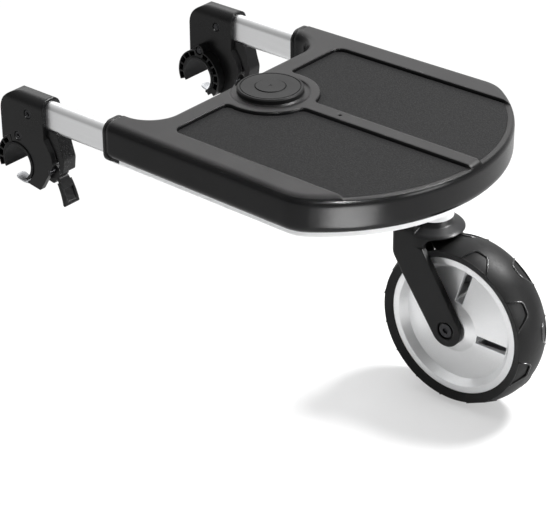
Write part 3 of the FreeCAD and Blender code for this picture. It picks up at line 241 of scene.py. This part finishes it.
def deck_plastic(name):
    """Deck moulding: a spark-grained top and smoother walls, with painted light making the top paler and
    painted shade making the walls darker.
    """
    look = Shader(name)
    look.soften(radius=0.0045, samples=8)
    cloud = look.noise(scale=22.0, detail=4.0)
    grain = look.noise(scale=1500.0, detail=2.0, rough=0.6)
    upward = look.facing_up(within=(0.70, 0.985))
    look.link(look.spread(upward, to=(0.25, 0.24), within=(0.0, 1.0)), look.bsdf.inputs["Specular IOR Level"])
    # Painted shade and painted light: the walls get the darker colour and the top the paler one, by which way
    # the softened normal faces.
    wall = look.ramp(cloud, dark=(0.0028, 0.0028, 0.0030), light=(0.0044, 0.0044, 0.0046))
    top = look.ramp(look.mix(0.4, cloud, grain), dark=(0.019, 0.0184, 0.0186),
                    light=(0.024, 0.0231, 0.0234), within=(0.35, 0.65))
    look.color(look.mix(upward, wall, top))
    sheen = look.spread(look.mix(0.35, cloud, grain), to=(0.0, 0.08), within=(0.35, 0.65))
    look.rough(look.number("ADD", sheen, look.spread(upward, to=(0.18, 0.46), within=(0.0, 1.0))))
    look.bump(grain, distance=0.00006, strength=0.6)
    return look.mat


def grip_rubber(name):
    """Matt standing surface with a fine granular relief."""
    look = Shader(name, Specular_IOR_Level=0.22)
    cloud = look.noise(scale=14.0, detail=4.0)
    grain = look.cells(scale=620.0)
    speck = look.noise(scale=900.0, detail=2.0, rough=0.7)
    base = look.ramp(speck, dark=(0.0055, 0.0055, 0.0058), light=(0.0165, 0.0165, 0.0169),
                     within=(0.32, 0.68))
    look.color(look.mix(look.spread(cloud, to=(0.0, 0.5)), base, PAD_WORN))
    look.rough(look.spread(grain, to=(0.62, 0.86), within=(0.1, 0.6)))
    look.bump(grain, distance=0.0005, strength=0.55)
    look.bump(speck, distance=0.0002, strength=0.4)
    return look.mat


def satin_plastic(name, dark, light, rough):
    """Pale satin moulding with faint flow marks."""
    look = Shader(name, Specular_IOR_Level=0.5)
    look.soften(radius=0.0006)
    flow = look.noise(scale=16.0, detail=4.0, rough=0.6, stretch=(1.0, 0.3, 1.0))
    grain = look.noise(scale=1400.0, detail=2.0)
    look.color(look.ramp(flow, dark, light))
    look.rough(look.spread(look.mix(0.3, flow, grain), to=rough, within=(0.35, 0.65)))
    look.bump(grain, distance=0.00004, strength=0.5)
    return look.mat


def brushed(name, dark, light, rough, stretch, lines=900.0):
    """Metal with fine drawing lines, along the axes that the stretch makes small."""
    look = Shader(name, Metallic=1.0, Anisotropic=0.35)
    look.soften(radius=0.0004)
    grain = look.noise(scale=lines, detail=4.0, rough=0.6, stretch=stretch)
    cloud = look.noise(scale=20.0, detail=4.0)
    look.color(look.mix(0.4, look.ramp(grain, dark, light), look.ramp(cloud, dark, light)))
    look.rough(look.spread(look.mix(0.4, grain, cloud), to=rough))
    look.bump(grain, distance=0.00003, strength=0.5)
    return look.mat


def painted_rim(name):
    """Silver sprayed moulding with fine metal flake."""
    look = Shader(name, Metallic=0.76, Coat_Weight=0.3, Coat_Roughness=0.2)
    look.soften(radius=0.0009)
    flake = look.cells(scale=2600.0)
    cloud = look.noise(scale=26.0, detail=4.0)
    base = look.ramp(flake, dark=(0.80, 0.805, 0.81), light=(0.92, 0.925, 0.93), within=(0.1, 0.7))
    look.color(look.mix(look.spread(cloud, to=(0.0, 0.35)), base, RIM_DULL))
    look.rough(look.spread(look.mix(0.5, cloud, flake), to=(0.27, 0.37), within=(0.2, 0.7)))
    look.bump(look.noise(scale=1500.0, detail=2.0), distance=0.00004, strength=0.5)
    return look.mat


def tyre_rubber(name, rough, level):
    """Moulded rubber with a faint bloom and a light film of dust."""
    look = Shader(name, Specular_IOR_Level=level)
    look.soften(radius=0.0008)
    cloud = look.noise(scale=30.0, detail=5.0, rough=0.6)
    grain = look.noise(scale=1100.0)
    base = look.ramp(cloud, dark=(0.0034, 0.0034, 0.0036), light=(0.0062, 0.0062, 0.0064))
    dust = look.spread(look.noise(scale=180.0, detail=5.0, rough=0.7), to=(0.0, 0.22), within=(0.5, 0.75))
    look.color(look.mix(dust, base, DUST))
    look.rough(look.spread(look.mix(0.4, cloud, grain), to=rough, within=(0.35, 0.65)))
    look.bump(grain, distance=0.00012, strength=0.45)
    return look.mat


def soft_rubber(name, dark, light):
    """Matt rubber lining with a fine grain."""
    look = Shader(name, Specular_IOR_Level=0.35)
    look.soften(radius=0.0005)
    cloud = look.noise(scale=40.0, detail=4.0)
    grain = look.noise(scale=1600.0, detail=2.0)
    look.color(look.ramp(cloud, dark, light))
    look.rough(look.spread(grain, to=(0.6, 0.8)))
    look.bump(grain, distance=0.0001, strength=0.5)
    return look.mat


dial_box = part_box("lock_dial")
dial_centre = NODES["lock_dial"].matrix_world.inverted() @ middle(dial_box)
# Radius and half width of the painted shade in the seams on the dial's top
DIAL_SHADE_RINGS = ((0.0164, 0.0009), (0.0319, 0.0010))

deck_black = deck_plastic("deck_plastic")
knob_black = moulded("knob_plastic", dark=(0.0115, 0.0115, 0.0117), light=(0.0155, 0.0154, 0.0155),
                     rough=(0.40, 0.50), grain=1700.0, depth=0.00006, edge=0.0006, level=0.13,
                     shade_rings=DIAL_SHADE_RINGS, centre=dial_centre)
clamp_black = moulded("clamp_plastic", dark=(0.0036, 0.0036, 0.0038), light=(0.0058, 0.0058, 0.0061),
                      rough=(0.25, 0.36), grain=1300.0, depth=0.00005, edge=0.0012, level=0.28)
fork_black = moulded("fork_plastic", dark=(0.0028, 0.0028, 0.0030), light=(0.0046, 0.0046, 0.0049),
                     rough=(0.28, 0.40), grain=1400.0, depth=0.00005, edge=0.0022, level=0.23)
pad_rubber = grip_rubber("grip_pad_rubber")
tray_silver = satin_plastic("tray_plastic", dark=(0.86, 0.865, 0.87), light=(0.92, 0.925, 0.93),
                            rough=(0.38, 0.50))
neck_silver = satin_plastic("neck_plastic", dark=(0.84, 0.845, 0.85), light=(0.90, 0.905, 0.91),
                            rough=(0.25, 0.36))
acetal = satin_plastic("acetal", dark=(0.68, 0.67, 0.63), light=(0.74, 0.73, 0.69), rough=(0.35, 0.45))
tube_metal = brushed("anodised_tube", dark=(0.88, 0.885, 0.89), light=(0.95, 0.955, 0.96),
                     rough=(0.32, 0.42), stretch=(1.0, 0.03, 1.0))
spacer_metal = brushed("turned_aluminium", dark=(0.70, 0.705, 0.71), light=(0.79, 0.795, 0.80),
                       rough=(0.28, 0.38), stretch=(1.0, 0.2, 0.2))
steel = brushed("zinc_steel", dark=(0.52, 0.53, 0.55), light=(0.66, 0.67, 0.69),
                rough=(0.24, 0.36), stretch=(1.0, 1.0, 0.3), lines=500.0)
bolt_black = brushed("blacked_steel", dark=(0.035, 0.035, 0.037), light=(0.060, 0.060, 0.063),
                     rough=(0.30, 0.42), stretch=(1.0, 1.0, 0.3), lines=500.0)
band_steel = brushed("band_steel", dark=(0.50, 0.51, 0.53), light=(0.62, 0.63, 0.65),
                     rough=(0.22, 0.34), stretch=(0.05, 1.0, 1.0))
rim_silver = painted_rim("rim_paint")
tyre_black = tyre_rubber("tyre_rubber", rough=(0.38, 0.56), level=0.28)
ridge_black = tyre_rubber("ridge_rubber", rough=(0.22, 0.32), level=0.55)
liner_grey = soft_rubber("liner_rubber", dark=(0.012, 0.012, 0.0126), light=(0.020, 0.020, 0.0208))

FINISH = {
    deck_black: ["deck_shell"] + both("arm_collar_"),
    knob_black: ["lock_dial", "lock_button"],
    clamp_black: both("clamp_bracket_", "clamp_jaw_", "band_strap_", "clamp_lever_", "lever_guard_"),
    fork_black: ["caster_fork"],
    pad_rubber: both("grip_pad_"),
    tray_silver: ["deck_tray"],
    neck_silver: ["caster_socket"],
    acetal: ["swivel_bushes", "thrust_washer", "dial_cam"] + both("tube_plug_", "lock_rod_"),
    tube_metal: both("tube_"),
    spacer_metal: ["bearing_spacer"],
    steel: ["tray_screws", "socket_screws", "button_spring", "cam_screw", "kingpin", "king_nut",
            "wheel_bearings"],
    bolt_black: ["axle_bolt", "axle_nut"] + both("clamp_fasteners_", "lever_pin_"),
    band_steel: both("hook_band_"),
    rim_silver: ["wheel_rim"],
    tyre_black: ["tyre"],
    liner_grey: both("jaw_liner_", "lock_shoe_"),
}
for material, names in FINISH.items():
    for name in names:
        mesh = NODES[name].data
        mesh.materials.clear()
        mesh.materials.append(material)


# Shared tools for the pieces that the scene adds
def add_piece(name, points, faces, material, body):
    """Builds a mesh, smooths it and hangs it on one body of the frame."""
    mesh = bpy.data.meshes.new(name)
    mesh.from_pydata(points, [], faces)
    mesh.shade_smooth()
    mesh.materials.append(material)
    piece = bpy.data.objects.new(name, mesh)
    bpy.context.collection.objects.link(piece)
    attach(piece, body)
    return piece


def circle(count):
    """Cosine and sine of evenly spaced turns."""
    turns = [FULL_TURN * k / count for k in range(count)]
    return [(math.cos(turn), math.sin(turn)) for turn in turns]


def sweep(rows):
    """Points and faces of a closed skin through rows of points, each row a ring round the path."""
    count = len(rows[0])
    points = [point for row in rows for point in row]
    faces = []
    for start in range(0, len(points) - count, count):
        for k in range(count):
            here, beside = start + k, start + (k + 1) % count
            faces.append((here, beside, beside + count, here + count))
    faces.append(tuple(range(count))[::-1])
    faces.append(tuple(range(len(points) - count, len(points))))
    return points, faces


# Raised ridges round the tread pockets
wheel_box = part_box("tyre")
axle = middle(wheel_box)
WHEEL_R = (wheel_box[1][2] - wheel_box[0][2]) / 2
TREAD_HALF = (wheel_box[1][0] - wheel_box[0][0]) / 2
SHOULDER_DROP = 0.0065
TREAD_R = (TREAD_HALF ** 2 + SHOULDER_DROP ** 2) / (2 * SHOULDER_DROP)
LUG_COUNT = 8
LUG_PHASE = math.radians(107.7)
# One pocket: from near the side edge it reaches in to a shorter edge that runs from its front to its back
LUG_INSET = 0.0006
LUG_BASE = TREAD_HALF - LUG_INSET
LUG_REACH = 0.0156
LUG_HALF = 0.0166
LUG_FRONT, LUG_BACK = -0.0034, 0.0112
LUG_CORNER_R = 0.0055
ARC_STEPS = 7
RIDGE_HALF_WIDTH = 0.0012
RIDGE_HEIGHT = 0.0013
RIDGE_SINK = 0.0003
RIDGE_STEPS = 6


def rounded_path(points, radius):
    """Open path through points in the plane, with each inner corner turned as an arc."""
    path = [points[0]]
    for before, corner, after in zip(points, points[1:], points[2:]):
        first = (before - corner).normalized()
        last = (after - corner).normalized()
        half = first.angle(last) / 2
        centre = corner + (first + last).normalized() * (radius / math.sin(half))
        start = corner + first * (radius / math.tan(half)) - centre
        end = corner + last * (radius / math.tan(half)) - centre
        for k in range(ARC_STEPS + 1):
            path.append(centre + start.lerp(end, k / ARC_STEPS).normalized() * radius)
    path.append(points[-1])
    return path


def tread_point(x, along, phase, lift):
    """Point on the tread beside the given phase, lifted along the tread's normal."""
    lean = math.asin(x / TREAD_R)
    radius = WHEEL_R - TREAD_R + (TREAD_R + lift) * math.cos(lean)
    turn = phase - math.atan2(along, radius)
    radial = Vector((0.0, math.cos(turn), math.sin(turn)))
    return axle + radial * radius + Vector((math.sin(lean) * (TREAD_R + lift), 0.0, 0.0))


def lug_ridge(side, phase):
    """Half-round ridge along the curved edge of one pocket."""
    inner = LUG_BASE - LUG_REACH
    corners = ((LUG_BASE, -LUG_HALF), (inner, LUG_FRONT), (inner, LUG_BACK), (LUG_BASE, LUG_HALF))
    path = rounded_path([Vector(corner) for corner in corners], LUG_CORNER_R)
    rows = []
    for before, here, after in zip(path[:1] + path, path, path[1:] + path[-1:]):
        ahead = (after - before).normalized()
        across = Vector((-ahead.y, ahead.x))
        row = []
        for k in range(RIDGE_STEPS + 1):
            turn = math.pi * k / RIDGE_STEPS
            at = here + across * (math.cos(turn) * RIDGE_HALF_WIDTH)
            lift = math.sin(turn) * RIDGE_HEIGHT - RIDGE_SINK
            row.append(tread_point(side * at.x, at.y, phase, lift))
        rows.append(row)
    return sweep(rows)


points, faces = [], []
for side, stagger in ((-1, 0.0), (1, 0.5)):
    for k in range(LUG_COUNT):
        phase = LUG_PHASE + FULL_TURN * (k + stagger) / LUG_COUNT
        ridge_points, ridge_faces = lug_ridge(side, phase)
        faces += [tuple(i + len(points) for i in face) for face in ridge_faces]
        points += ridge_points
ridges = add_piece("tread_ridges", points, faces, ridge_black, "wheel")


# Button spring, drawn with a round wire in the place of the part, which is hidden
SPRING_TURNS = 2
WIRE_R = 0.00045
WIRE_SIDES = 8
COIL_STEPS = 28


def coil(box):
    """Helix of round wire that fills the box."""
    low, high = Vector(box[0]), Vector(box[1])
    centre = middle(box)
    radius = (high.x - low.x) / 2 - WIRE_R
    rise = high.z - low.z - 2 * WIRE_R
    steps = SPRING_TURNS * COIL_STEPS
    rows = []
    for i in range(steps + 1):
        turn = FULL_TURN * i / COIL_STEPS
        radial = Vector((math.cos(turn), math.sin(turn), 0.0))
        at = Vector((centre.x, centre.y, low.z + WIRE_R + rise * i / steps)) + radial * radius
        rows.append([at + (radial * out + UP * up) * WIRE_R for out, up in circle(WIRE_SIDES)])
    return sweep(rows)


spring_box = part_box("button_spring")
points, faces = coil(spring_box)
spring = add_piece("spring_coil", points, faces, steel, "dial")
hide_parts("button_spring")
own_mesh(spring)


# Small pips under the tray, below each tube
# Radius and drop of each ring, from the tip up
PIP_RINGS = ((0.0012, 0.0025), (0.0021, 0.0019), (0.0024, 0.0010), (0.0024, -0.0002))
PIP_SIDES = 16
PIP_Y = -0.2362


def pip(place):
    """Small dome that hangs from the place."""
    rows = []
    for radius, drop in PIP_RINGS:
        rows.append([place + Vector((radius * x, radius * y, -drop)) for x, y in circle(PIP_SIDES)])
    return sweep(rows)


tray_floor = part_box("deck_tray")[0][2]
tube_x = (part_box("tube_right")[0][0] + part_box("tube_right")[1][0]) / 2
for side, label in zip((-1, 1), SIDES):
    points, faces = pip(Vector((side * tube_x, PIP_Y, tray_floor)))
    add_piece("tray_pip_" + label, points, faces, bolt_black, "board")


# Floor and surround
FLOOR_REACH = 6.0
BRIGHT_SIDE = (0.75, 0.63, 0.20)
floor_z = cad_box[0][2]


def floor_paper():
    """Pale paper that shows the shadow near the wheel and glows to white further off."""
    look = Shader("floor_paper", Base_Color=(0.82, 0.82, 0.82), Specular_IOR_Level=0.1)
    look.rough(look.spread(look.noise(scale=30.0), to=(0.85, 0.95)))
    ray = look.add("ShaderNodeLightPath").outputs
    strength = look.spread(ray["Is Camera Ray"], to=(0.58, 1.0), within=(0.0, 1.0))
    glow = look.add("ShaderNodeEmission", {"Color": WHITE, "Strength": strength})
    direct = look.number("ADD", ray["Is Camera Ray"], ray["Is Glossy Ray"])
    seen = look.number("ADD", direct, ray["Is Transmission Ray"])
    position = look.add("ShaderNodeNewGeometry").outputs["Position"]
    away = look.vector("DISTANCE", position, (0.0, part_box("tyre")[0][1], floor_z))
    share = look.number("MULTIPLY", seen, look.spread(away, to=(0.42, 0.94), within=(0.30, 0.75)))
    blend = look.add("ShaderNodeMixShader", enumerate((share, look.bsdf.outputs[0], glow.outputs[0])))
    look.link(blend.outputs[0], look.tree.nodes["Material Output"].inputs["Surface"])
    return look.mat


def make_floor():
    mesh = bpy.data.meshes.new("floor")
    corners = [(x * FLOOR_REACH, y * FLOOR_REACH, floor_z) for x, y in ((-1, -1), (1, -1), (1, 1), (-1, 1))]
    mesh.from_pydata(corners, [], [(0, 1, 2, 3)])
    mesh.materials.append(floor_paper())
    floor = bpy.data.objects.new("floor", mesh)
    bpy.context.collection.objects.link(floor)


def make_world():
    """Studio surround: bright behind the object and overhead, dim on the camera's side."""
    world = bpy.data.worlds.new("studio")
    world.use_nodes = True
    bpy.context.scene.world = world
    sky = Nodes(world.node_tree, "Generated")
    facing = sky.vector("DOT_PRODUCT", sky.coords, BRIGHT_SIDE)
    strength = sky.spread(facing, to=(0.20, 0.75), within=(-0.6, 0.9), curve="SMOOTHSTEP")
    background = sky.tree.nodes["Background"]
    sky.link(WHITE, background.inputs["Color"])
    sky.link(strength, background.inputs["Strength"])


# Lamps
def softbox(name, place, aim, size, power):
    """Rectangular lamp that the camera doesn't see."""
    light = bpy.data.lights.new(name, "AREA")
    light.shape = "RECTANGLE"
    light.size, light.size_y = size
    light.energy = power
    lamp = bpy.data.objects.new(name, light)
    bpy.context.collection.objects.link(lamp)
    lamp.location = place
    lamp.visible_camera = False
    lamp.rotation_euler = (Vector(aim) - Vector(place)).to_track_quat("-Z", "Y").to_euler()
    return lamp


def gather(name, objects):
    group = bpy.data.collections.new(name)
    for entry in objects:
        group.objects.link(entry)
    return group


def shade_only(lamp, names):
    """Lets only the named nodes cast this lamp's shadow, so that the floor stays clear beside the deck."""
    lamp.light_linking.blocker_collection = gather(lamp.name + "_casters", [NODES[name] for name in names])


def light_only(lamp, *objects):
    """Lets this lamp light these objects alone."""
    lamp.light_linking.receiver_collection = gather(lamp.name + "_receivers", objects)


def light_skips(lamp, names):
    """Keeps this lamp off the named nodes: those in the shade of the brackets, or too pale for it."""
    group = gather(lamp.name + "_skipped", [NODES[name] for name in names])
    for entry in group.collection_objects:
        entry.light_linking.link_state = "EXCLUDE"
    lamp.light_linking.receiver_collection = group


WHEEL_NODES = ["tyre", "wheel_rim", "caster_fork", "axle_bolt", "axle_nut", "wheel_bearings"]
CARD_LIFT = 0.004
CARD_PLACE = (-0.375, -0.80, floor_z + CARD_LIFT)
CARD_AIM = (-0.375, -0.80, 1.0)
CORNER_SPREAD = math.radians(10.0)


def make_lamps():
    """Broad light from behind and above, a main lamp for the one shadow, and small ones for highlights."""
    back = softbox("back_box", place=(1.9, 1.7, 1.55), aim=(0.0, -0.25, 0.05), size=(3.2, 1.5), power=24.0)
    light_skips(back, ["wheel_rim"])
    softbox("top_box", place=(-0.2, -0.5, 2.4), aim=(0.0, -0.25, 0.0), size=(1.8, 1.8), power=6.0)
    # Highlight on the deck's rear corner
    corner = softbox("corner_box", place=(-1.14, -1.82, 1.08), aim=(-0.139, -0.422, 0.082),
                     size=(0.16, 0.16), power=0.17)
    corner.data.spread = CORNER_SPREAD
    light_only(corner, NODES["deck_shell"])
    # Pale card on the floor, mirrored in the deck's wall
    card = softbox("card_box", CARD_PLACE, CARD_AIM, size=(0.25, 0.25), power=2.8)
    light_only(card, NODES["deck_shell"])
    # Light along the edges of the fork and of the tread's ridges
    edge = softbox("edge_box", place=(0.75, -1.70, 0.95), aim=(0.0, -0.50, -0.05),
                   size=(0.5, 0.5), power=90.0)
    light_only(edge, NODES["caster_fork"], ridges)
    softbox("rear_box", place=(0.25, -2.00, 0.45), aim=(-0.05, -0.45, 0.0), size=(0.7, 0.5), power=10.0)
    # Main lamp, which casts the shadow on the floor
    key = softbox("key_box", place=(1.13, -0.97, 1.95), aim=(0.0, -0.45, -0.05), size=(0.5, 0.5), power=78.0)
    shade_only(key, WHEEL_NODES)
    light_skips(key, ["wheel_rim"] + both("clamp_jaw_", "jaw_liner_"))


# Camera, with its lens and sensor in millimetres
CAMERA_PLACE = (-1.576539, -1.544470, 1.038248)
CAMERA_TURN = math.radians(49.9567)
CAMERA_TILT = math.radians(29.0092)
CAMERA_ROLL = math.radians(-0.2630)
LENS = 142.13
SENSOR = 36.0


def make_camera():
    """Camera that looks along +Y when its turn, tilt and roll are 0; it turns towards +X and tilts down."""
    data = bpy.data.cameras.new("camera")
    data.sensor_fit = "HORIZONTAL"
    data.sensor_width = SENSOR
    data.lens = LENS
    camera = bpy.data.objects.new("camera", data)
    bpy.context.collection.objects.link(camera)
    heading = Matrix.Rotation(-CAMERA_TURN, 4, "Z") @ Matrix.Rotation(math.pi / 2 - CAMERA_TILT, 4, "X")
    roll = Matrix.Rotation(CAMERA_ROLL, 4, "Z")
    camera.matrix_world = Matrix.Translation(CAMERA_PLACE) @ heading @ roll
    bpy.context.scene.camera = camera


make_floor()
make_world()
make_lamps()
make_camera()
scene = bpy.context.scene
scene.view_settings.view_transform = "Standard"
